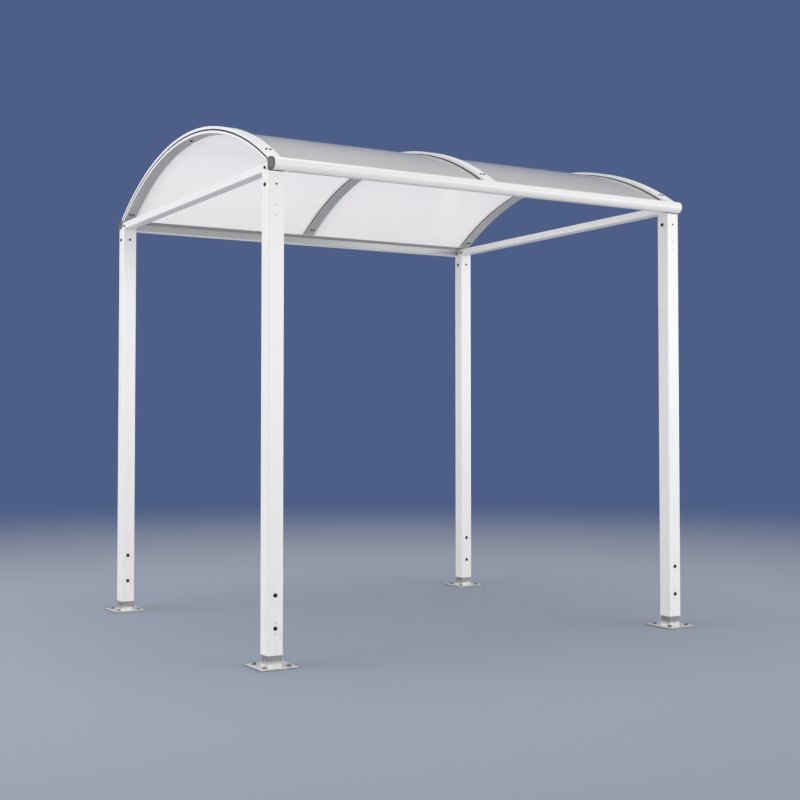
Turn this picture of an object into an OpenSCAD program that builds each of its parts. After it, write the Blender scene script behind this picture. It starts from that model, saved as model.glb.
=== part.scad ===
// Waiting shelter: four square posts on bolted feet carry two round-nosed
// eaves rails and two end ties. Three arches clamp two curved roof sheets.
// Millimetres. X runs along the shelter, -Y is its front, Z is up from the
// ground, and the origin is on the ground under the middle of the roof.

/* [Overall] */
// Distance between the post centres along the shelter
span_x = 2400; // [1600:10:3600]
// Distance between the post centres from front to rear
span_y = 2080; // [1400:10:3000]
// Height of the flat underside of the rails and ties
eaves_z = 2278; // [1800:1:2900]
// Rise of the roof from the rails' top edges to the crown
roof_rise = 313; // [200:1:500]

/* [Posts] */
// Outside width of the square posts
post_w = 80; // [60:1:120]
// Wall of the posts
post_wall = 4; // [2:0.5:6]
// Outside corner radius of the posts
post_corner_r = 6; // [3:0.5:12]
// Height of the posts' lower ends above the ground
post_bottom_z = 58; // [20:1:150]
// Gap under the rails' round noses at the posts' outer walls
post_top_gap = 2.5; // [0.2:0.1:4]
// Height of the posts' side cheeks above the ties' undersides
cheek_h = 9; // [2:0.5:20]
// Length over which the cheeks rise, inside the rails' inner walls
cheek_rise = 25; // [10:1:30]
// Clearance round a tie or rail where a post is cut for it
notch_clear = 1; // [0.5:0.1:3]

/* [Feet] */
// Side of the square base plates
plate_w = 190; // [150:1:300]
// Thickness of the base plates
plate_t = 8; // [5:0.5:20]
// Distance between the anchor holes, both ways
anchor_pitch = 120; // [90:1:200]
// Diameter of the anchor holes
anchor_d = 14; // [8:0.5:24]
// Height of the foot tubes' tops above the ground
foot_top_z = 360; // [200:5:700]
// Wall of the foot tubes and of the post connectors
inner_wall = 4; // [2:0.5:6]
// Clearance between a post and the tube inside it
sleeve_clear = 0.5; // [0.2:0.1:0.9]

/* [Post connectors] */
// Length of a connector inside the post top
connector_l = 248; // [120:1:400]
// Thickness of the connector's top plate
connector_top_t = 6; // [3:0.5:12]

/* [Rails] */
// Radius of the rails' round noses
nose_r = 30; // [20:0.5:45]
// Distance of the nose centre outside the posts' outer faces
nose_out = 15; // [8:0.5:25]
// Drop of the round nose below the flat underside
nose_drop = 5.5; // [0:0.5:12]
// Distance of the rails' inner walls inside the posts' outer faces
rail_in = 30; // [22:0.5:45]
// Reach of the lip that carries the sheets, inside the inner wall
lip_reach = 20; // [8:0.5:30]
// Thickness of that lip
lip_t = 3; // [2:0.5:5]
// Distance of the rails' top edges inside the posts' outer faces
edge_in = 13; // [5:0.5:20]
// Height of the rails' top edges above the flat underside
edge_up = 61; // [45:0.5:90]
// Wall of the rails
rail_wall = 3; // [2:0.5:5]
// Distance of the rails' ends inside the posts' outer faces
rail_inset = 12; // [5:0.5:30]
// Thickness of the end caps' flanges
cap_t = 4; // [2:0.5:8]
// Length of the end caps' plugs inside the rails
plug_l = 14; // [6:0.5:40]
// Wall of the end caps' plugs
plug_wall = 2; // [1.5:0.5:4]
// Clearance round the end caps' plugs
plug_clear = 0.4; // [0.2:0.1:0.9]
// Width of the rim round an end cap's face, and of the groove inside it
cap_rim = 5; // [3:0.5:8]
// Depth of that groove
cap_groove = 1.5; // [0.5:0.1:2]

/* [Ties] */
// Width of the end ties
tie_w = 60; // [40:1:72]
// Height of the end ties
tie_h = 40; // [30:1:60]
// Wall of the end ties
tie_wall = 3; // [2:0.5:5]
// Corner radius of the end ties
tie_corner_r = 4; // [2:0.5:8]

/* [Arches and sheets] */
// Width of the arches
arch_w = 60; // [50:1:90]
// Thickness of the arch bars' flanges under the sheets
bar_t = 9; // [5:0.5:15]
// Width of the arch bars' ribs, between the sheets
rib_w = 12; // [6:1:24]
// Thickness of the roof sheets
sheet_t = 8; // [4:0.5:12]
// Clearance over and under a roof sheet
sheet_clear = 0.2; // [0.1:0.1:0.5]
// Clearance between a sheet's edge and a rib
sheet_edge_clear = 3; // [1:0.5:6]
// Thickness of the seals between the sheets and the arch caps
seal_t = 4; // [2:0.5:8]
// Reach of the seals over the sheets, past the arches' sides
seal_lip = 5; // [1:0.5:10]
// Width of the deeper edge of an end arch's seal, on its outer side
seal_edge_w = 8; // [4:0.5:15]
// Extra depth of that edge
seal_edge_t = 4; // [1:0.5:6]
// Height of the arch caps
arch_cap_h = 14; // [8:0.5:25]
// Wall of the arch caps
arch_cap_wall = 3; // [2:0.5:5]
// Gap at each end of an arch
arch_end_gap = 0.5; // [0.2:0.1:0.9]
// Gap at each end of a roof sheet
sheet_end_gap = 3; // [1:0.5:8]

/* [Hidden] */
$fn = 96;
white = [0.93, 0.93, 0.94];
zinc = [0.62, 0.64, 0.62];
dark = [0.16, 0.17, 0.18];
clear_white = [0.9, 0.91, 0.92, 0.8];

// Outer faces of the posts, and the nose centre's height
face_x = span_x / 2 + post_w / 2;
face_y = span_y / 2 + post_w / 2;
nose_z = eaves_z - nose_drop + nose_r;
post_top_z = eaves_z - nose_drop - post_top_gap;

// Circle of the roof, through both top edges and the crown
edge_y = face_y - edge_in;
edge_z = eaves_z + edge_up;
arch_r = (edge_y * edge_y + roof_rise * roof_rise) / (2 * roof_rise);
roof_z = edge_z + roof_rise - arch_r;
roof_a = asin(edge_y / arch_r);

// Radii of the roof's layers, from the caps down to the bars
seal_r = arch_r - arch_cap_h - seal_t;
sheet_r = seal_r - sheet_clear - sheet_t;
seat_r = sheet_r - sheet_clear;
bar_r = seat_r - bar_t;
lip_y = face_y - rail_in - lip_reach;
lip_a = asin(lip_y / seat_r);

// Lengths along the shelter
rail_l = 2 * (face_x - rail_inset);
sheet_x0 = rib_w / 2 + sheet_edge_clear;
sheet_l = span_x / 2 - 2 * sheet_x0;
inner_w = post_w - 2 * post_wall - 2 * sleeve_clear;

// Unit normal facing left of a direction, and a corner moved inwards by w
function unit(v) = v / norm(v);
function inset(p, n1, n2, w) = p - w * (n1 + n2) / (1 + n1 * n2);
// Point on a circle about the roof's axis, a degrees in front of the crown
function roof_point(r, a) = [-r * sin(a), roof_z + r * cos(a)];
// Height on such a circle at a distance y from the middle
function roof_height(r, y) = roof_z + sqrt(r * r - y * y);

// Square with rounded corners, centred
module round_rect(x, y, r) {
    square([x - 2 * r, y], center = true);
    square([x, y - 2 * r], center = true);
    for (i = [-1, 1], j = [-1, 1])
        translate([i * (x / 2 - r), j * (y / 2 - r)])
            circle(r);
}

// Square tube standing on the ground plane's side of z0
module square_tube(w, wall, r, z0, z1) {
    translate([0, 0, z0])
        linear_extrude(z1 - z0)
            difference() {
                round_rect(w, w, r);
                round_rect(w - 2 * wall, w - 2 * wall, max(r - wall, 1));
            }
}

// Profile in the YZ plane, extruded along X from x0 over a length l
module along_x(x0, l) {
    translate([x0, 0, 0])
        rotate([90, 0, 90])
            linear_extrude(l)
                children();
}

// Places a front left part at the post i, j (-1 or 1 each)
module at_post(i, j) {
    translate([i * span_x / 2, j * span_y / 2, 0])
        mirror([i > 0 ? 1 : 0, 0, 0])
            mirror([0, j > 0 ? 1 : 0, 0])
                children();
}

// Foot: square base plate with four anchor holes
module base_plate() {
    color(zinc)
        linear_extrude(plate_t)
            difference() {
                square(plate_w, center = true);
                for (i = [-1, 1], j = [-1, 1])
                    translate([i * anchor_pitch / 2, j * anchor_pitch / 2])
                        circle(d = anchor_d);
            }
}

// Foot: tube welded to the plate, inside the post
module foot_tube() {
    color(zinc)
        square_tube(inner_w, inner_wall, post_corner_r, plate_t, foot_top_z);
}

// Post of square tube, its top cut under the rail and round the tie
module post() {
    h = post_w / 2;
    top = eaves_z + cheek_h;
    color(white)
        difference() {
            square_tube(post_w, post_wall, post_corner_r, post_bottom_z, top);
            along_x(-post_w, 2 * post_w)
                polygon([
                    [-post_w, post_top_z],
                    [post_wall - h, post_top_z],
                    [rail_in - 2 * nose_r / 3 - h, eaves_z - 2 * notch_clear],
                    [rail_in + notch_clear - h, eaves_z - notch_clear],
                    [rail_in + cheek_rise - h, top],
                    [rail_in + cheek_rise - h, top + post_w],
                    [-post_w, top + post_w]
                ]);
            translate([-tie_w / 2 - notch_clear, 0, eaves_z - notch_clear])
                cube([tie_w + 2 * notch_clear, post_w, post_w]);
        }
}

// Connector: closed tube inside the post top, under the rail and tie
module connector() {
    inner = inner_w - 2 * inner_wall;
    color(dark)
        difference() {
            translate([0, 0, eaves_z - connector_l])
                linear_extrude(connector_l)
                    round_rect(inner_w, inner_w, post_corner_r);
            translate([0, 0, eaves_z - connector_l - 1])
                linear_extrude(connector_l - connector_top_t + 1)
                    square(inner, center = true);
        }
}

// Outline of the front rail in the YZ plane, moved inwards by w
module rail_shape(w) {
    nose = [nose_out * -1 - face_y, nose_z];
    edge = roof_point(arch_r, roof_a);
    stop = roof_point(seat_r, roof_a);
    wall_y = -face_y + rail_in;
    to_edge = edge - nose;
    turn = atan2(to_edge[1], to_edge[0]) + acos(nose_r / norm(to_edge));
    top_n = [cos(turn), sin(turn)];
    stop_n = [cos(roof_a), sin(roof_a)];
    seat_n = [-sin(roof_a), cos(roof_a)];
    corner = inset(stop, stop_n, seat_n, w);
    inner_y = wall_y - w;
    translate(nose)
        circle(nose_r - w);
    polygon([
        [nose[0], eaves_z + w],
        [inner_y, eaves_z + w],
        [inner_y, min(roof_height(seat_r - w, inner_y), corner[1])],
        [min(corner[0], inner_y), corner[1]],
        inset(edge, top_n, stop_n, w),
        nose + (nose_r - w) * top_n,
        nose
    ]);
}

// Lip along the inner wall that carries the sheets' lower edges
module lip_shape() {
    wall_y = -face_y + rail_in;
    polygon([
        [wall_y - rail_wall / 2, roof_height(seat_r - lip_t, wall_y)],
        [wall_y, roof_height(seat_r - lip_t, wall_y)],
        roof_point(seat_r - lip_t, lip_a),
        roof_point(seat_r, lip_a),
        [wall_y - rail_wall / 2, roof_height(seat_r, wall_y - rail_wall / 2)]
    ]);
}

// Front eaves rail, a hollow section with a round nose
module rail() {
    color(white)
        along_x(-rail_l / 2, rail_l)
            difference() {
                union() {
                    rail_shape(0);
                    lip_shape();
                }
                rail_shape(rail_wall);
            }
}

// End cap of the front rail's left end: flange and hollow plug
module rail_cap() {
    color(dark) {
        difference() {
            along_x(-rail_l / 2 - cap_t, cap_t)
                rail_shape(0);
            along_x(-rail_l / 2 - cap_t - 1, cap_groove + 1)
                difference() {
                    rail_shape(cap_rim);
                    rail_shape(2 * cap_rim);
                }
        }
        along_x(-rail_l / 2, plug_l)
            difference() {
                rail_shape(rail_wall + plug_clear);
                rail_shape(rail_wall + plug_clear + plug_wall);
            }
    }
}

// Ring segment about the roof's axis from a0 to a1 degrees in front of the
// crown, with a profile whose x is the radius and whose y runs along X
module roof_arc(a0, a1) {
    translate([0, 0, roof_z])
        rotate([90, 0, 90])
            rotate([0, 0, 90 + a0])
                rotate_extrude(angle = a1 - a0, $fn = 360)
                    children();
}

// End tie of rectangular tube between the two rails, on the left, its ends
// trimmed under the rails' lips
module tie() {
    l = 2 * (face_y - rail_in);
    color(white)
        difference() {
            translate([-span_x / 2, l / 2, eaves_z + tie_h / 2])
                rotate([90, 0, 0])
                    linear_extrude(l)
                        difference() {
                            round_rect(tie_w, tie_h, tie_corner_r);
                            round_rect(tie_w - 2 * tie_wall, tie_h - 2 * tie_wall,
                                       max(tie_corner_r - tie_wall, 1));
                        }
            for (rear = [0, 1])
                mirror([0, rear, 0])
                    roof_arc(lip_a - 1, roof_a + 5)
                        translate([seat_r - lip_t - notch_clear, -span_x / 2 - tie_w])
                            square([tie_h, 2 * tie_w]);
        }
}

// Profile of an arch bar: flange under the sheets and rib between them. The
// right end arch's rib (end 1, or 0 for the middle arch) reaches its outer
// side, under the seal's deeper edge.
module bar_shape(end) {
    half = arch_w / 2;
    polygon(concat(
        [[bar_r, -half], [bar_r, half]],
        end == 1
            ? [[seal_r - seal_edge_t, half], [seal_r - seal_edge_t, half - seal_edge_w],
               [seal_r, half - seal_edge_w]]
            : [[seat_r, half], [seat_r, rib_w / 2], [seal_r, rib_w / 2]],
        [[seal_r, -rib_w / 2], [seat_r, -rib_w / 2], [seat_r, -half]]
    ));
}

// Profile of an arch's seal, with a deeper edge outside an end arch's rib
module seal_shape(end) {
    half = arch_w / 2;
    side = half + seal_lip;
    polygon(concat(
        [[seal_r + seal_t, -side], [seal_r, -side]],
        end == 1
            ? [[seal_r, half - seal_edge_w], [seal_r - seal_edge_t, half - seal_edge_w],
               [seal_r - seal_edge_t, half], [seal_r + seal_t, half]]
            : [[seal_r, side], [seal_r + seal_t, side]]
    ));
}

// Arch bar, its flange cut short at the rails
module arch_bar(end) {
    end_a = arch_end_gap / arch_r * 180 / PI;
    rib_a = roof_a - end_a;
    color(white)
        difference() {
            roof_arc(-rib_a, rib_a)
                bar_shape(end);
            for (rear = [0, 1])
                mirror([0, rear, 0])
                    roof_arc(lip_a - end_a, roof_a + 1)
                        translate([bar_r - 1, -arch_w])
                            square([bar_t + 1 + sheet_clear, 2 * arch_w]);
        }
}

// Seal over the sheets' edges, under the arch cap
module arch_seal(end) {
    end_a = arch_end_gap / arch_r * 180 / PI;
    color(dark)
        roof_arc(end_a - roof_a, roof_a - end_a)
            seal_shape(end);
}

// Arch cap: channel over the seal
module arch_cap() {
    end_a = arch_end_gap / arch_r * 180 / PI;
    foot_r = arch_r - arch_cap_h;
    color(white)
        roof_arc(end_a - roof_a, roof_a - end_a)
            difference() {
                translate([foot_r, -arch_w / 2])
                    square([arch_cap_h, arch_w]);
                translate([foot_r - 1, arch_cap_wall - arch_w / 2])
                    square([arch_cap_h - arch_cap_wall + 1, arch_w - 2 * arch_cap_wall]);
            }
}

// Curved roof sheet of the left bay
module roof_sheet() {
    end_a = sheet_end_gap / sheet_r * 180 / PI;
    color(clear_white)
        roof_arc(end_a - roof_a, roof_a - end_a)
            translate([sheet_r, sheet_x0 - span_x / 2])
                square([sheet_t, sheet_l]);
}

at_post(-1, -1) base_plate();  // base_plate_front_left
at_post(1, -1) base_plate();  // base_plate_front_right
at_post(-1, 1) base_plate();  // base_plate_rear_left
at_post(1, 1) base_plate();  // base_plate_rear_right
at_post(-1, -1) foot_tube();  // foot_tube_front_left
at_post(1, -1) foot_tube();  // foot_tube_front_right
at_post(-1, 1) foot_tube();  // foot_tube_rear_left
at_post(1, 1) foot_tube();  // foot_tube_rear_right
at_post(-1, -1) post();  // post_front_left
at_post(1, -1) post();  // post_front_right
at_post(-1, 1) post();  // post_rear_left
at_post(1, 1) post();  // post_rear_right
at_post(-1, -1) connector();  // connector_front_left
at_post(1, -1) connector();  // connector_front_right
at_post(-1, 1) connector();  // connector_rear_left
at_post(1, 1) connector();  // connector_rear_right
rail();  // rail_front
mirror([0, 1, 0]) rail();  // rail_rear
rail_cap();  // rail_cap_front_left
mirror([1, 0, 0]) rail_cap();  // rail_cap_front_right
mirror([0, 1, 0]) rail_cap();  // rail_cap_rear_left
mirror([1, 0, 0]) mirror([0, 1, 0]) rail_cap();  // rail_cap_rear_right
tie();  // tie_left
mirror([1, 0, 0]) tie();  // tie_right
mirror([1, 0, 0]) translate([span_x / 2, 0, 0]) arch_bar(1);  // arch_bar_left
arch_bar(0);  // arch_bar_middle
translate([span_x / 2, 0, 0]) arch_bar(1);  // arch_bar_right
mirror([1, 0, 0]) translate([span_x / 2, 0, 0]) arch_seal(1);  // arch_seal_left
arch_seal(0);  // arch_seal_middle
translate([span_x / 2, 0, 0]) arch_seal(1);  // arch_seal_right
translate([-span_x / 2, 0, 0]) arch_cap();  // arch_cap_left
arch_cap();  // arch_cap_middle
translate([span_x / 2, 0, 0]) arch_cap();  // arch_cap_right
roof_sheet();  // roof_sheet_left
mirror([1, 0, 0]) roof_sheet();  // roof_sheet_right
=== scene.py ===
# Waiting shelter: a free-standing open frame of white square posts, two
# round-nosed eaves rails and three arches over two curved twin-wall sheets.
# Metres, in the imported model's frame: X along the shelter, -Y its front.

import math

import bmesh
import bpy
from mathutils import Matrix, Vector


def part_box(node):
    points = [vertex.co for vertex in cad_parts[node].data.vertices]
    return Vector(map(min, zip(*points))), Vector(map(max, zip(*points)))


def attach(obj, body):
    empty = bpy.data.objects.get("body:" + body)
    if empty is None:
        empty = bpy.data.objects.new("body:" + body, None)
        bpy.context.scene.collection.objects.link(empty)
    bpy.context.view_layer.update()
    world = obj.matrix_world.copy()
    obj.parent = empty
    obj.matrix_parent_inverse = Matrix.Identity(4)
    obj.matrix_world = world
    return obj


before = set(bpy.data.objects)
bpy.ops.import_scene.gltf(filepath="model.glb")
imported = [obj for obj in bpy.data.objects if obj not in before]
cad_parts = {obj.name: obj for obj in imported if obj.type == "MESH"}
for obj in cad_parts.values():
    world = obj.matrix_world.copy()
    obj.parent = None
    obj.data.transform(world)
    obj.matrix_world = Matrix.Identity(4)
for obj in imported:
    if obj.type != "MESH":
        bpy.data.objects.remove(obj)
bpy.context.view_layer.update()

# Camera: a long lens at chest height, left of the front, looking slightly up
# at the roof.
camera = bpy.data.objects.new("camera", bpy.data.cameras.new("camera"))
camera.location = (-3.6812, -6.4509, 1.1068)
camera.rotation_euler = (math.radians(91.802), 0, math.radians(-30.147))
camera.data.lens = 58.064
camera.data.sensor_width = 36
camera.data.shift_x = 0.00396
camera.data.shift_y = -0.0202
camera.data.clip_end = 200
bpy.context.scene.collection.objects.link(camera)
bpy.context.scene.camera = camera


# Feet: thick square plates with four open anchor holes and a stub tube welded
# on, all hot-dip galvanised. The zinc sets in crystals a centimetre across,
# with a dull film on the plates. The stub is painted darker towards its top, a
# painted shade under the post, and the plates' side faces are made darker.
class Thread:
    """A socket of a finish, which Python sums and products work on."""

    def __init__(self, finish, socket):
        self.finish = finish
        self.socket = socket

    def __add__(self, other):
        return self.finish.maths("ADD", self, other)

    def __sub__(self, other):
        return self.finish.maths("SUBTRACT", self, other)

    def __mul__(self, other):
        return self.finish.maths("MULTIPLY", self, other)

    def __truediv__(self, other):
        return self.finish.maths("DIVIDE", self, other)

    def __pow__(self, other):
        return self.finish.maths("POWER", self, other)

    def __radd__(self, other):
        return self.finish.maths("ADD", other, self)

    def __rsub__(self, other):
        return self.finish.maths("SUBTRACT", other, self)

    def __rmul__(self, other):
        return self.finish.maths("MULTIPLY", other, self)

    def __rtruediv__(self, other):
        return self.finish.maths("DIVIDE", other, self)

    def limited(self):
        """Held between 0 and 1."""
        return self.finish.maths("ADD", self, 0.0, clamp=True)

    def between(self, low, high):
        """0 below low and 1 above high, with a soft step between them."""
        return self.finish.node(
            "ShaderNodeMapRange", {"interpolation_type": "SMOOTHSTEP"},
            {"Value": self, "From Min": low, "From Max": high})


class Finish:
    """A material or world whose nodes are made from Python expressions."""

    def __init__(self, owner):
        owner.use_nodes = True
        self.owner = owner
        self.tree = owner.node_tree
        self.tree.nodes.clear()

    def socket(self, sockets, name):
        """The socket with this place, identifier or name."""
        if isinstance(name, int):
            return sockets[name]
        known = [s for s in sockets if s.identifier == name]
        return known[0] if known else sockets[name]

    def node(self, kind, settings=None, values=None, out=0):
        """A new node: its settings first, then its sockets' values or links."""
        made = self.tree.nodes.new(kind)
        for name, value in (settings or {}).items():
            setattr(made, name, value)
        for name, value in (values or {}).items():
            socket = self.socket(made.inputs, name)
            if isinstance(value, Thread):
                self.tree.links.new(value.socket, socket)
            else:
                socket.default_value = value
        return Thread(self, self.socket(made.outputs, out)) if made.outputs else None

    def maths(self, operation, *values, clamp=False):
        return self.node("ShaderNodeMath", {"operation": operation, "use_clamp": clamp},
                         dict(enumerate(values)))

    def place(self):
        return self.node("ShaderNodeTexCoord", out="Object")

    def axes(self, vector):
        """The three parts of a vector or colour."""
        first = self.node("ShaderNodeSeparateXYZ", None, {"Vector": vector})
        return [Thread(self, s) for s in first.socket.node.outputs]

    def joined(self, x, y, z):
        return self.node("ShaderNodeCombineXYZ", None, {"X": x, "Y": y, "Z": z})

    def stretched(self, vector, scale):
        return self.node("ShaderNodeMapping", None, {"Vector": vector, "Scale": scale})

    def noise(self, vector, scale, detail=2.0, roughness=0.5):
        return self.node("ShaderNodeTexNoise", None,
                         {"Vector": vector, "Scale": scale, "Detail": detail,
                          "Roughness": roughness}, out="Fac")

    def mixed(self, factor, first, second):
        return self.node("ShaderNodeMix", {"data_type": "RGBA"},
                         {"Factor_Float": factor, "A_Color": first, "B_Color": second},
                         out="Result_Color")

    def bump(self, height, depth, strength=1.0):
        return self.node("ShaderNodeBump", None,
                         {"Height": height, "Distance": depth, "Strength": strength})

    def shader(self, values):
        return self.node("ShaderNodeBsdfPrincipled", None, values)

    def ends(self, shader):
        """Joins the shader to the output and gives back the finished owner."""
        kind = "World" if isinstance(self.owner, bpy.types.World) else "Material"
        self.node(f"ShaderNodeOutput{kind}", None, {"Surface": shader})
        return self.owner


def new_finish(name):
    return Finish(bpy.data.materials.new(name))


def grey(value, warmth=0.0):
    """Linear colour of a plain grey, a little warmer or colder."""
    return (value * (1 + warmth), value, value * (1 - warmth), 1)


def dress(material, names):
    """Gives CAD nodes their finish."""
    for name in names:
        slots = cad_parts[name].data.materials
        slots.clear()
        slots.append(material)


EDGE_LOW_Z, EDGE_TOP_Z = 0.0066, 0.0078
STUB_SHADE_LOW_Z, STUB_SHADE_TOP_Z = 0.006, 0.038
CRYSTALS_PER_M = 105.0


def galvanised_zinc():
    f = new_finish("galvanised_zinc")
    place = f.place()
    z = f.axes(place)[2]
    crystals = f.node("ShaderNodeTexVoronoi", None,
                      {"Vector": place, "Scale": CRYSTALS_PER_M}, out="Color")
    light, tilt, raised = f.axes(crystals)
    film = f.noise(place, 22.0, 5.0, 0.6)
    grain = f.noise(place, 900.0)
    # The stub is painted darker towards its top: a painted shade under the post.
    stub = z.between(STUB_SHADE_LOW_Z, STUB_SHADE_TOP_Z)
    # The plates' side faces are made darker.
    edge = 1 - z.between(EDGE_LOW_Z, EDGE_TOP_Z)
    dull = (film.between(0.52, 0.68) * 0.4).limited()
    tone = 0.80 + 0.10 * light + 0.10 * (film - 0.5) + 0.05 * (grain - 0.5)
    tone = tone - 0.57 * stub - 0.56 * edge
    clean = f.mixed(tone.limited(), grey(0.0), grey(1.0, 0.008))
    return f.ends(f.shader({
        "Base Color": f.mixed(dull * (1 - stub), clean, grey(0.66, 0.02)),
        "Metallic": 0.40 - 0.25 * dull,
        "Roughness": 0.36 + 0.14 * tilt + 0.25 * dull,
        "Normal": f.bump(0.6 * raised + 0.4 * f.noise(place, 260.0, 3.0),
                         0.0003, 0.6)}))


CORNERS = [f"{end}_{side}" for end in ("front", "rear") for side in ("left", "right")]
zinc = galvanised_zinc()
dress(zinc, [f"base_plate_{corner}" for corner in CORNERS])
dress(zinc, [f"foot_tube_{corner}" for corner in CORNERS])


# Weld beads: one run of fillet weld round each stub's base, laid in short
# overlapping ripples before the foot is dipped in zinc.
BEAD_R = 0.0055
BEAD_SIDES = 10
BEAD_RIPPLE = 0.0045
BEAD_SWELL = 0.22
BEAD_UP = 0.0005
STUB_CORNER_R = 0.006
CORNER_STEPS = 6
SMOOTH_UP_TO = math.radians(35)


def new_tree(name, sizes):
    """Geometry node tree with one input for each named size, and its inputs."""
    tree = bpy.data.node_groups.new(name, "GeometryNodeTree")
    tree.interface.new_socket("Geometry", in_out="INPUT",
                              socket_type="NodeSocketGeometry")
    for size, kind in sizes.items():
        tree.interface.new_socket(size, in_out="INPUT", socket_type=f"NodeSocket{kind}")
    tree.interface.new_socket("Geometry", in_out="OUTPUT",
                              socket_type="NodeSocketGeometry")
    return tree, tree.nodes.new("NodeGroupInput").outputs


def join(tree, kind, settings=None, values=None, out=0):
    """One node of a tree, and its output."""
    made = tree.nodes.new(kind)
    for name, value in (settings or {}).items():
        setattr(made, name, value)
    for name, value in (values or {}).items():
        if isinstance(value, bpy.types.NodeSocket):
            tree.links.new(value, made.inputs[name])
        else:
            made.inputs[name].default_value = value
    return made.outputs[out] if made.outputs else None


def close_tree(tree, geometry, material):
    """Ends a tree with real geometry in one material."""
    whole = join(tree, "GeometryNodeRealizeInstances", None, {"Geometry": geometry})
    done = join(tree, "GeometryNodeSetMaterial", None,
                {"Geometry": whole, "Material": material})
    join(tree, "NodeGroupOutput", None, {"Geometry": done})
    return tree


def show(name, mesh):
    """A mesh object in the scene, shaded smooth up to its sharp edges."""
    mesh.shade_smooth()
    mesh.set_sharp_from_angle(angle=SMOOTH_UP_TO)
    piece = bpy.data.objects.new(name, mesh)
    bpy.context.scene.collection.objects.link(piece)
    return piece


def grown(name, base_mesh, tree, sizes):
    """Plain mesh piece of what the tree makes of a base mesh."""
    base = bpy.data.objects.new(f"{name}_base", base_mesh)
    bpy.context.scene.collection.objects.link(base)
    modifier = base.modifiers.new(name, "NODES")
    modifier.node_group = tree
    for item in tree.interface.items_tree:
        if item.in_out == "INPUT" and item.name in sizes:
            modifier[item.identifier] = sizes[item.name]
    base.update_tag()
    graph = bpy.context.evaluated_depsgraph_get()
    mesh = bpy.data.meshes.new_from_object(base.evaluated_get(graph))
    base.modifiers.remove(modifier)
    bpy.data.objects.remove(base)
    mesh.name = name
    return show(name, mesh)


def round_run_tree():
    """A round bead along each line of edges, swelling at every ripple."""
    tree, size = new_tree("round_run", {
        "Radius": "Float", "Step": "Float", "Ripple": "Float", "Swell": "Float",
        "Material": "Material"})
    line = join(tree, "GeometryNodeMeshToCurve", None, {"Mesh": size["Geometry"]})
    line = join(tree, "GeometryNodeResampleCurve", {"mode": "LENGTH"},
                {"Curve": line, "Length": size["Step"]})
    run = join(tree, "GeometryNodeSplineParameter", out="Length")
    turns = join(tree, "ShaderNodeMath", {"operation": "DIVIDE"},
                 {0: run, 1: size["Ripple"]})
    part = join(tree, "ShaderNodeMath", {"operation": "FRACT"}, {0: turns})
    fall = join(tree, "ShaderNodeMath", {"operation": "MULTIPLY"},
                {0: part, 1: size["Swell"]})
    scale = join(tree, "ShaderNodeMath", {"operation": "SUBTRACT"}, {0: 1.0, 1: fall})
    ring = join(tree, "GeometryNodeCurvePrimitiveCircle", None,
                {"Resolution": BEAD_SIDES, "Radius": size["Radius"]})
    bead = join(tree, "GeometryNodeCurveToMesh", None,
                {"Curve": line, "Profile Curve": ring, "Scale": scale,
                 "Fill Caps": True})
    return close_tree(tree, bead, size["Material"])


def stub_outlines():
    """Closed lines round the stubs where they meet their plates."""
    mesh = bmesh.new()
    for corner in CORNERS:
        low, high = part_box(f"foot_tube_{corner}")
        middle, half = (low + high) / 2, (high.x - low.x) / 2 - STUB_CORNER_R
        line = []
        for quarter in range(4):
            bend = math.radians(90 * quarter + 45)
            x = middle.x + math.copysign(half, math.cos(bend))
            y = middle.y + math.copysign(half, math.sin(bend))
            for step in range(CORNER_STEPS + 1):
                turn = math.radians(90 * quarter + 90 / CORNER_STEPS * step)
                way = Vector((math.cos(turn), math.sin(turn)))
                line.append(mesh.verts.new((x + STUB_CORNER_R * way.x,
                                            y + STUB_CORNER_R * way.y,
                                            low.z + BEAD_UP)))
        for first, second in zip(line, line[1:] + line[:1]):
            mesh.edges.new((first, second))
    outline = bpy.data.meshes.new("stub_outlines")
    mesh.to_mesh(outline)
    mesh.free()
    return outline


round_run = round_run_tree()
weld_beads = grown("weld_beads", stub_outlines(), round_run, {
    "Radius": BEAD_R, "Step": BEAD_RIPPLE / 4, "Ripple": BEAD_RIPPLE,
    "Swell": BEAD_SWELL, "Material": zinc})
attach(weld_beads, "root")


# Posts: square aluminium tubes with a baked white powder coat. The coat has a
# fine orange-peel skin over faint lines from the extrusion die, and a little
# road dust on the lowest half metre.
LINES_ACROSS, LINES_ALONG = 700.0, 2.0
DUST_TOP_Z = 0.55


def die_lines(axis):
    """Gives a place that changes slowly along one axis, for faint die lines."""
    scale = [LINES_ACROSS] * 3
    scale[axis] = LINES_ALONG
    return lambda f, place: f.stretched(place, scale)


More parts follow.
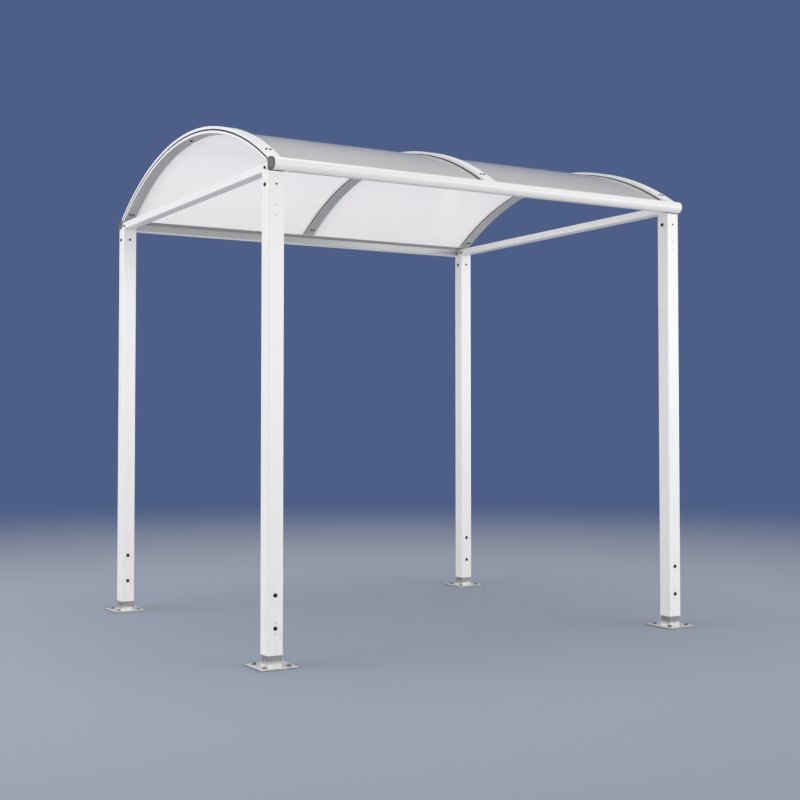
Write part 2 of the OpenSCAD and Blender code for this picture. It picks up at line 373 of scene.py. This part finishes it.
def powder_coat(name, lines, dusty=False, bare=None, bare_tone=0.0):
    """White coat with die lines; bare gives where bare_tone metal is painted, on the
    rails partly as painted shade.
    """
    f = new_finish(name)
    place = f.place()
    z = f.axes(place)[2]
    cloud = f.noise(place, 2.3, 3.0)
    peel = f.noise(place, 420.0, 1.0)
    drawn = f.noise(lines(f, place), 1.0, 2.0)
    tone = 0.80 + 0.02 * (cloud - 0.5) + 0.012 * (peel - 0.5) + 0.014 * (drawn - 0.5)
    colour = f.mixed(tone, grey(0.0), (1.0, 1.0, 1.008, 1))
    rough = 0.36 + 0.10 * (cloud - 0.5) + 0.05 * (peel - 0.5)
    if dusty:
        streaks = f.noise(f.stretched(place, (55.0, 55.0, 5.0)), 1.0, 4.0, 0.6)
        low = 1 - z.between(0.06, DUST_TOP_Z)
        dust = (streaks.between(0.38, 0.75) * low * 0.22).limited()
        colour = f.mixed(dust, colour, (0.52, 0.48, 0.42, 1))
        rough = rough + 0.5 * dust
    values = {"Base Color": colour, "Roughness": rough,
              "Normal": f.bump(0.7 * peel + 0.3 * drawn, 0.00012, 0.5)}
    if bare is not None:
        bare_look = bare(f, place)
        metal = f.mixed(bare_tone + 0.10 * (drawn - 0.5), grey(0.0), grey(1.0))
        values.update({"Base Color": f.mixed(bare_look, colour, metal),
                       "Metallic": 0.35 * bare_look, "Roughness": rough + 0.04 * bare_look})
    return f.ends(f.shader(values))


post_coat = powder_coat("white_coat_posts", die_lines(axis=2), dusty=True)
dress(post_coat, [f"post_{corner}" for corner in CORNERS])


# Post bolts: black-coated button heads with a hexagon socket on plain washers.
# Two pin the stub in each post's foot, front and rear. One on the left and one
# on the right hold the connector in its top, with smaller ones front and rear.
HEAD_SIDES = 24
HEAD_RIM = 0.14
HEAD_FLAT = 0.42
HEAD_TURNS = (25, 45, 62, 76)
SOCKET_DEPTH = 0.62
FOOT_BOLT_Z = (0.180, 0.330)
TOP_BOLT_Z = 2.211
PIN_Z = (0.155, 0.205, 2.068, 2.114)
LEFT, RIGHT = Vector((-1, 0, 0)), Vector((1, 0, 0))
FRONT, REAR = Vector((0, -1, 0)), Vector((0, 1, 0))
DOWN, UP = Vector((0, 0, -1)), Vector((0, 0, 1))


def black_steel():
    f = new_finish("black_coated_steel")
    place = f.place()
    skin = f.noise(place, 1300.0, 2.0)
    worn = f.noise(place, 300.0, 4.0, 0.7).between(0.56, 0.72)
    return f.ends(f.shader({
        "Base Color": f.mixed(worn * 0.35, grey(0.018), grey(0.13)),
        "Metallic": 0.35 * worn, "Roughness": 0.28 + 0.14 * skin - 0.06 * worn,
        "Specular IOR Level": 0.25,
        "Normal": f.bump(skin, 0.00004, 0.5)}))


def turned(name, rings):
    """Closed shape round +Z through rings of (half width, height, six-sided)."""
    mesh = bmesh.new()
    loops = []
    for half, z, six_sided in rings:
        loop = []
        for k in range(HEAD_SIDES):
            a = 2 * math.pi * k / HEAD_SIDES
            to_flat = math.cos((a + math.pi / 6) % (math.pi / 3) - math.pi / 6)
            radius = half / to_flat if six_sided else half
            loop.append(mesh.verts.new((radius * math.cos(a), radius * math.sin(a), z)))
        loops.append(loop)
    for outer, inner in zip(loops, loops[1:]):
        for k in range(HEAD_SIDES):
            n = (k + 1) % HEAD_SIDES
            mesh.faces.new((outer[k], outer[n], inner[n], inner[k]))
    mesh.faces.new(loops[-1])
    mesh.faces.new(list(reversed(loops[0])))
    bmesh.ops.recalc_face_normals(mesh, faces=mesh.faces[:])
    head = bpy.data.meshes.new(name)
    mesh.to_mesh(head)
    mesh.free()
    return bpy.data.objects.new(name, head)


def screw_head(name, width, height, socket, washer_w=0.0, washer_t=0.0):
    """Button head with a hexagon socket, turned from its washer inwards."""
    r, edge = width / 2, washer_w / 2
    rings = []
    if washer_w:
        rings += [(edge, 0.0, False), (edge, washer_t * 0.8, False),
                  (edge - washer_t * 0.2, washer_t, False), (r * 1.02, washer_t, False)]
    rings += [(r, washer_t, False), (r, washer_t + height * HEAD_RIM, False)]
    for turn in HEAD_TURNS:
        a = math.radians(turn)
        out = r * (HEAD_FLAT + (1 - HEAD_FLAT) * math.cos(a))
        if turn == HEAD_TURNS[0]:
            out += r * 0.02
        up = height * (HEAD_RIM + (1 - HEAD_RIM) * math.sin(a) ** 0.9)
        rings.append((out, washer_t + up, False))
    top = washer_t + height
    rings += [(socket / 2 * 1.10, top, True), (socket / 2, top - height * 0.08, True),
              (socket / 2, top - height * SOCKET_DEPTH, True)]
    return turned(name, rings)


# Places of the random value's sockets for a plain number.
RANDOM_HIGH, RANDOM_NUMBER = 3, 1


def set_heads_tree():
    """A head on each point, facing along its facing value, turned at random."""
    tree, size = new_tree("set_heads", {
        "Head": "Object", "Turn": "Float", "Seed": "Int", "Material": "Material"})
    points = join(tree, "GeometryNodeMeshToPoints", None, {"Mesh": size["Geometry"]})
    facing = join(tree, "GeometryNodeInputNamedAttribute",
                  {"data_type": "FLOAT_VECTOR"}, {"Name": "facing"})
    along = join(tree, "FunctionNodeAlignRotationToVector", {"axis": "Z"},
                 {"Vector": facing})
    turn = join(tree, "FunctionNodeRandomValue", {"data_type": "FLOAT"},
                {RANDOM_HIGH: size["Turn"], "Seed": size["Seed"]}, out=RANDOM_NUMBER)
    about = join(tree, "ShaderNodeCombineXYZ", None, {"Z": turn})
    spin = join(tree, "FunctionNodeEulerToRotation", None, {"Euler": about})
    rotation = join(tree, "FunctionNodeRotateRotation", {"rotation_space": "LOCAL"},
                    {"Rotation": along, "Rotate By": spin})
    head = join(tree, "GeometryNodeObjectInfo", None, {"Object": size["Head"]},
                out="Geometry")
    heads = join(tree, "GeometryNodeInstanceOnPoints", None,
                 {"Points": points, "Instance": head, "Rotation": rotation})
    return close_tree(tree, heads, size["Material"])


heads_tree = set_heads_tree()


def set_heads(name, head, places, material, seed):
    """One piece with a head at each (point, facing)."""
    mesh = bpy.data.meshes.new(f"{name}_places")
    mesh.from_pydata([point for point, _ in places], [], [])
    facing = mesh.attributes.new("facing", "FLOAT_VECTOR", "POINT")
    for k, (_, way) in enumerate(places):
        facing.data[k].vector = way
    piece = grown(name, mesh, heads_tree, {
        "Head": head, "Turn": math.pi / 3, "Seed": seed, "Material": material})
    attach(piece, "root")


black = black_steel()
button_head = screw_head("button_head", width=0.0170, height=0.0050, socket=0.006,
                         washer_w=0.0200, washer_t=0.0012)
bolt_places, inner_places, outer_places, pin_places = [], [], [], []
for corner in CORNERS:
    low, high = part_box(f"post_{corner}")
    middle = (low + high) / 2
    half = (high.x - low.x) / 2
    for way in (FRONT, REAR):
        face = Vector((middle.x, middle.y, 0)) + way * half
        bolt_places += [(face + UP * z, way) for z in FOOT_BOLT_Z]
        outside = way.y * middle.y > 0
        top_places = outer_places if outside else inner_places
        top_places.append((face + UP * TOP_BOLT_Z, way))
        if outside:
            pin_places += [(face + UP * z, way) for z in PIN_Z]
    for way in (LEFT, RIGHT):
        bolt_places.append((Vector((middle.x, middle.y, TOP_BOLT_Z)) + way * half, way))
set_heads("post_bolts", button_head, bolt_places, black, seed=3)
small_head = screw_head("small_head", width=0.0095, height=0.0028, socket=0.0035)
set_heads("post_outer_screws", small_head, outer_places, black, seed=4)
inner_head = screw_head("inner_head", width=0.0140, height=0.0042, socket=0.005)
set_heads("post_inner_screws", inner_head, inner_places, black, seed=8)


# Pins: plain aluminium blind rivets, above and below the foot's lower bolt and
# under the connector's screws.
def plain_aluminium():
    f = new_finish("plain_aluminium")
    place = f.place()
    oxide = f.noise(place, 700.0, 4.0, 0.7)
    return f.ends(f.shader({
        "Base Color": f.mixed((0.30 + 0.16 * oxide).limited(), grey(0.0), grey(1.0)),
        "Metallic": 0.55, "Roughness": 0.40 + 0.2 * oxide,
        "Normal": f.bump(oxide, 0.00004, 0.5)}))


pin_head = screw_head("pin_head", width=0.0062, height=0.0014, socket=0.0018)
set_heads("post_pins", pin_head, pin_places, plain_aluminium(),
          seed=6)


# Post connectors: short closed boxes of primed steel, pushed up inside the
# posts' tops. Only their undersides show, from inside the posts.
def primed_steel():
    f = new_finish("primed_steel")
    place = f.place()
    mill = f.noise(f.stretched(place, (90.0, 90.0, 8.0)), 1.0, 4.0, 0.6)
    spots = f.noise(place, 60.0, 4.0, 0.7).between(0.6, 0.72)
    tone = f.mixed((0.05 + 0.05 * mill).limited(), grey(0.0), grey(1.0))
    return f.ends(f.shader({
        "Base Color": f.mixed(spots * 0.6, tone, (0.13, 0.07, 0.04, 1)),
        "Metallic": 0.3 - 0.25 * spots, "Roughness": 0.55 + 0.2 * spots,
        "Normal": f.bump(mill, 0.0002, 0.4)}))


dress(primed_steel(), [f"connector_{corner}" for corner in CORNERS])


# Eaves rails: hollow aluminium extrusions with a round nose in front and a lip
# behind that carries the sheets, coated white after cutting. The die leaves
# faint lines along them. Their inner walls are painted as darker bare metal,
# which is partly a painted shade under the roof.
RAIL_INNER_Y = 1.050


def rail_inside_shade(f, place):
    """1 on the rails' inner walls and the undersides of their lips, which are painted
    as darker bare metal, partly a painted shade.
    """
    across = f.maths("ABSOLUTE", f.axes(place)[1])
    return 1 - across.between(RAIL_INNER_Y + 0.0002, RAIL_INNER_Y + 0.001)


# The inner walls' darker bare-metal colour is partly a painted shade under the roof.
rail_coat = powder_coat("white_coat_rails", die_lines(axis=0), bare=rail_inside_shade,
                        bare_tone=0.42)
dress(rail_coat, ["rail_front", "rail_rear"])


# Rail end caps: moulded dark grey plastic with a fine spark-eroded texture,
# pushed into the rails' ends. Their outer faces are painted lighter, a painted
# highlight.
CAP_FACE_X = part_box("rail_cap_front_right")[1].x


def moulded_plastic():
    f = new_finish("moulded_dark_plastic")
    place = f.place()
    along = f.maths("ABSOLUTE", f.axes(place)[0])
    # Lighter on the caps' outer faces: a painted highlight.
    face = along.between(CAP_FACE_X - 0.0012, CAP_FACE_X - 0.0003)
    texture = f.noise(place, 2200.0, 2.0)
    chalk = f.noise(place, 70.0, 4.0, 0.6)
    tone = 0.04 + 0.09 * face + 0.05 * chalk.between(0.35, 0.7) + 0.02 * (texture - 0.5)
    return f.ends(f.shader({
        "Base Color": f.mixed(tone, grey(0.0), grey(1.0, -0.01)),
        "Roughness": 0.46 + 0.14 * chalk, "Normal": f.bump(texture, 0.00006, 0.6)}))


dress(moulded_plastic(), [f"rail_cap_{corner}" for corner in CORNERS])


# End ties: white coated rectangular tubes between the rails over the posts,
# each end held by a cross screw with a head on both sides.
TIE_SCREW_Z = 2.292
TIE_SCREW_IN = 0.064

dress(powder_coat("white_coat_ties", die_lines(axis=1)), ["tie_left", "tie_right"])
tie_places = []
for side in ("left", "right"):
    low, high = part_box(f"tie_{side}")
    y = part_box(f"post_rear_{side}")[1].y - TIE_SCREW_IN
    for x, way in ((low.x, LEFT), (high.x, RIGHT)):
        tie_places += [(Vector((x, y * end, TIE_SCREW_Z)), way) for end in (-1, 1)]
set_heads("tie_screws", button_head, tie_places, black, seed=5)


# Arch bars: white coated aluminium flats rolled to the roof's curve, with a
# rib between the sheets. Small screws clamp each arch together near both its
# ends and at its crown.
ARCHES = ("left", "middle", "right")
ROOF_Z0 = 0.6768
BAR_FOOT_R = 1.9398
END_SCREW_TURN = 30.0
END_SCREW_APART = 0.010


def roof_radius(f, place):
    """How far a place is from the axis that the roof is bent round."""
    y, z = f.axes(place)[1:]
    up = z - ROOF_Z0
    return f.maths("SQRT", y * y + up * up)


def along_arch(f, place):
    """Stretched along the roof's curve: only x and the radius change fast."""
    x, y = f.axes(place)[:2]
    return f.joined(LINES_ACROSS * x, LINES_ACROSS * roof_radius(f, place),
                    LINES_ALONG * y)


def arch_underside(f, place):
    """1 on the face that ran over the bending rolls."""
    return 1 - roof_radius(f, place).between(BAR_FOOT_R + 0.0003, BAR_FOOT_R + 0.001)


bar_coat = powder_coat("white_coat_arch_bars", along_arch, bare=arch_underside,
                       bare_tone=0.56)
dress(bar_coat, [f"arch_bar_{arch}" for arch in ARCHES])


def arch_point(x, radius, turn):
    """A point on the roof's curve, turn degrees to the rear of its crown."""
    a = math.radians(turn)
    return Vector((x, radius * math.sin(a), ROOF_Z0 + radius * math.cos(a)))


def arch_way(turn):
    """Straight out from the roof's curve at that turn."""
    a = math.radians(turn)
    return Vector((0, math.sin(a), math.cos(a)))


ARCH_X = {arch: sum(corner.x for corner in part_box(f"arch_cap_{arch}")) / 2
          for arch in ARCHES}
CAP_TOP_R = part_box("arch_cap_middle")[1].z - ROOF_Z0
end_head = screw_head("end_head", width=0.0138, height=0.0040, socket=0.005)
crown_head = screw_head("crown_head", width=0.0165, height=0.0048, socket=0.006,
                        washer_w=0.019, washer_t=0.001)
end_places, crown_places = [], []
for x in ARCH_X.values():
    for turn in (-END_SCREW_TURN, END_SCREW_TURN):
        for dx in (-END_SCREW_APART, END_SCREW_APART):
            way = arch_way(turn)
            end_places += [(arch_point(x + dx, CAP_TOP_R, turn), way),
                           (arch_point(x + dx, BAR_FOOT_R, turn), -way)]
    crown_places.append((arch_point(x, BAR_FOOT_R, 0), DOWN))
set_heads("arch_end_screws", end_head, end_places, black, seed=7)
set_heads("arch_crown_screws", crown_head, crown_places, black, seed=9)


# Bulb seals: black rubber cords held under the sheets along both sides of each
# arch bar, except on the shelter's outer sides.
BULB_R = 0.0022
BULB_GAP = 0.0001
BULB_TURN = 31.4
BULB_STEPS = 72
BULB_STEP = 0.03
SHEET_FOOT_R = 1.9490
ARCH_HALF = (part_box("arch_bar_middle")[1].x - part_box("arch_bar_middle")[0].x) / 2


def black_rubber():
    f = new_finish("black_rubber")
    place = f.place()
    grain = f.noise(place, 1500.0, 2.0)
    bloom = f.noise(place, 35.0, 5.0, 0.65)
    tone = 0.009 + 0.014 * bloom.between(0.4, 0.75)
    return f.ends(f.shader({
        "Base Color": f.mixed(tone, grey(0.0), grey(1.0)),
        "Roughness": 0.60 + 0.2 * bloom, "Specular IOR Level": 0.3,
        "Normal": f.bump(grain, 0.00005, 0.6)}))


rubber = black_rubber()
bulb_lines = bmesh.new()
for arch, x in ARCH_X.items():
    for side in (-1, 1):
        if (arch, side) in (("left", -1), ("right", 1)):
            continue
        line = [bulb_lines.verts.new(arch_point(
            x + side * (ARCH_HALF + BULB_R), SHEET_FOOT_R - BULB_R - BULB_GAP,
            BULB_TURN * (2 * k / BULB_STEPS - 1))) for k in range(BULB_STEPS + 1)]
        for first, second in zip(line, line[1:]):
            bulb_lines.edges.new((first, second))
bulb_mesh = bpy.data.meshes.new("bulb_lines")
bulb_lines.to_mesh(bulb_mesh)
bulb_lines.free()
bulb_seals = grown("bulb_seals", bulb_mesh, round_run, {
    "Radius": BULB_R, "Step": BULB_STEP, "Ripple": 1.0, "Swell": 0.0,
    "Material": rubber})
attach(bulb_seals, "root")


# Roof sheets: opal twin-wall polycarbonate, cold-bent over the bars. Its
# flutes run up over the roof, and light scatters through both skins.
FLUTE = 0.0184
RIB_DARK = 0.36
RIB_HOLDS = 0.12


def opal_sheet():
    f = new_finish("opal_twin_wall")
    place = f.place()
    x = f.axes(place)[0]
    flute = f.maths("PINGPONG", x / (FLUTE / 2), 1.0)
    rib = flute.between(0.76, 0.97)
    cloud = f.noise(place, 3.0, 3.0)
    grain = f.noise(place, 240.0, 2.0)
    tone = 0.99 - RIB_DARK * rib + 0.01 * (cloud - 0.5)
    colour = f.mixed(tone.limited(), grey(0.0), (1.0, 0.988, 1.0, 1))
    normal = f.bump(rib + 0.06 * grain, 0.0003, 0.5)
    milky = f.node("ShaderNodeMixShader", None, {
        0: 0.05,
        1: f.node("ShaderNodeBsdfTranslucent", None,
                  {"Color": colour, "Normal": normal}),
        2: f.node("ShaderNodeBsdfDiffuse", None,
                  {"Color": colour, "Normal": normal})})
    clear = f.node("ShaderNodeBsdfTransparent", None, {"Color": (0.99, 0.98, 0.99, 1)})
    through = f.node("ShaderNodeMixShader", None,
                     {0: 0.14 - RIB_HOLDS * rib, 1: milky, 2: clear})
    gloss = f.node("ShaderNodeBsdfGlossy", None,
                   {"Color": grey(1.0), "Roughness": 0.18 + 0.06 * cloud,
                    "Normal": normal})
    facing = f.node("ShaderNodeLayerWeight", None, {"Blend": 0.5}, out="Facing")
    return f.ends(f.node("ShaderNodeMixShader", None,
                         {0: 0.04 + 0.88 * facing ** 4, 1: through, 2: gloss}))


dress(opal_sheet(), ["roof_sheet_left", "roof_sheet_right"])


# Upper seals and arch caps: a black rubber strip lies over the sheets' edges,
# and a white coated channel is screwed down over it.
dress(rubber, [f"arch_seal_{arch}" for arch in ARCHES])
dress(powder_coat("white_coat_arch_caps", along_arch),
      [f"arch_cap_{arch}" for arch in ARCHES])


# Anchor bolts: zinc-plated hexagon bolts, one through each hole of the base
# plates into the ground, with a plain washer under the head. The plating is
# dull and has begun to brown.
PLATE_T = 0.008
ANCHOR_PITCH = 0.120
SHANK_R, SHANK_SHORT = 0.0058, 0.0003
WASHER_R, WASHER_T = 0.0120, 0.0025
FLATS, HEAD_T = 0.0180, 0.0070
CHAMFER = 0.0004


def dull_plating():
    f = new_finish("dull_zinc_plating")
    place = f.place()
    brown = f.noise(place, 160.0, 4.0, 0.65).between(0.42, 0.66)
    grain = f.noise(place, 1100.0, 2.0)
    return f.ends(f.shader({
        "Base Color": f.mixed(brown * 0.75, grey(0.30, 0.02), (0.115, 0.088, 0.070, 1)),
        "Metallic": 0.75 - 0.45 * brown, "Roughness": 0.30 + 0.25 * brown + 0.1 * grain,
        "Normal": f.bump(grain, 0.00005, 0.5)}))


head_top = WASHER_T + HEAD_T
anchor = turned("anchor", [
    (SHANK_R, SHANK_SHORT - PLATE_T, False), (SHANK_R, 0.0, False),
    (WASHER_R, 0.0, False), (WASHER_R, WASHER_T - CHAMFER, False),
    (WASHER_R - CHAMFER, WASHER_T, False), (FLATS / 2 - 0.0006, WASHER_T, False),
    (FLATS / 2, WASHER_T + CHAMFER, True), (FLATS / 2, head_top - 0.0014, True),
    (FLATS / 2 * 0.93, head_top, False)])
anchor_places = []
for corner in CORNERS:
    low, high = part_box(f"base_plate_{corner}")
    middle = (low + high) / 2
    anchor_places += [(Vector((middle.x + i * ANCHOR_PITCH / 2,
                               middle.y + j * ANCHOR_PITCH / 2, PLATE_T)), UP)
                      for i in (-1, 1) for j in (-1, 1)]
set_heads("anchor_bolts", anchor, anchor_places, dull_plating(),
          seed=11)


# Studio: a plain pale floor that fades into a slate blue backdrop, with even
# light all round. The soft lamps stand on the left, low and wide in front on
# the right, and overhead.
BACKDROP = (0.0762, 0.1144, 0.2423, 1)
FLOOR_SEEN = (0.29, 0.32, 0.39, 1)
FLOOR_BOUNCE = 0.57
FLOOR_FADE = (2.5, 11.0)
FLOOR_HALF = 60.0
FLOOR_Z = -0.0003
MIRRORED_SKY = 0.26


def background_rays(f):
    """1 for rays that show what is behind: seen, mirrored or through glass."""
    seen = f.node("ShaderNodeLightPath", out="Is Camera Ray")
    outputs = seen.socket.node.outputs
    mirrored, through, scattered = (
        Thread(f, outputs[f"Is {kind} Ray"])
        for kind in ("Glossy", "Transmission", "Diffuse"))
    return (seen + mirrored + through * (1 - scattered)).limited()


def studio_floor():
    f = new_finish("studio_floor")
    x, y = f.axes(f.place())[:2]
    away = f.maths("SQRT", x * x + y * y)
    bounce = f.node("ShaderNodeBsdfDiffuse", None, {"Color": grey(FLOOR_BOUNCE)})
    seen = f.node("ShaderNodeBsdfDiffuse", None, {"Color": FLOOR_SEEN})
    far = f.node("ShaderNodeEmission", None, {"Color": BACKDROP, "Strength": 1.0})
    fade = f.node("ShaderNodeMixShader", None,
                  {0: away.between(*FLOOR_FADE), 1: seen, 2: far})
    return f.ends(f.node("ShaderNodeMixShader", None,
                         {0: background_rays(f), 1: bounce, 2: fade}))


floor_mesh = bpy.data.meshes.new("floor")
floor_mesh.from_pydata([(i * FLOOR_HALF, j * FLOOR_HALF, FLOOR_Z)
                        for i, j in ((-1, -1), (1, -1), (1, 1), (-1, 1))],
                       [], [(0, 1, 2, 3)])
floor_mesh.materials.append(studio_floor())
floor = bpy.data.objects.new("floor", floor_mesh)
bpy.context.scene.collection.objects.link(floor)

world = bpy.data.worlds.new("studio")
bpy.context.scene.world = world
around = Finish(world)
height = around.axes(around.place())[2]
above = 0.43 + 0.41 * height.between(0.1, 0.9)
even = around.node("ShaderNodeBackground", None,
                   {"Color": around.mixed(above, grey(0.0), grey(1.0)),
                    "Strength": 1.0})
sky = around.mixed(height.between(0.33, 0.62), BACKDROP, grey(MIRRORED_SKY))
behind = around.node("ShaderNodeBackground", None, {"Color": sky, "Strength": 1.0})
around.ends(around.node("ShaderNodeMixShader", None,
                        {0: background_rays(around), 1: even, 2: behind}))


def lamp(name, place, aim, size, watts):
    """A soft rectangular lamp at a place, turned to its aim."""
    data = bpy.data.lights.new(name, "AREA")
    data.shape = "RECTANGLE"
    data.size, data.size_y = size
    data.energy = watts
    made = bpy.data.objects.new(name, data)
    made.location = place
    way = Vector(aim) - Vector(place)
    made.rotation_euler = way.to_track_quat("-Z", "Y").to_euler()
    bpy.context.scene.collection.objects.link(made)


lamp("left_lamp", (-6.5, 0.4, 3.1), aim=(-1.2, 0, 1.6), size=(6.0, 4.0), watts=225)
lamp("front_lamp", (6.2, -11.0, 2.8), aim=(0.5, -1.0, 1.6), size=(10.0, 3.0), watts=700)
lamp("top_lamp", (0, 0, 7.5), aim=(0, 0, 2.4), size=(3.5, 3.5), watts=98)

bpy.context.scene.view_settings.view_transform = "Standard"
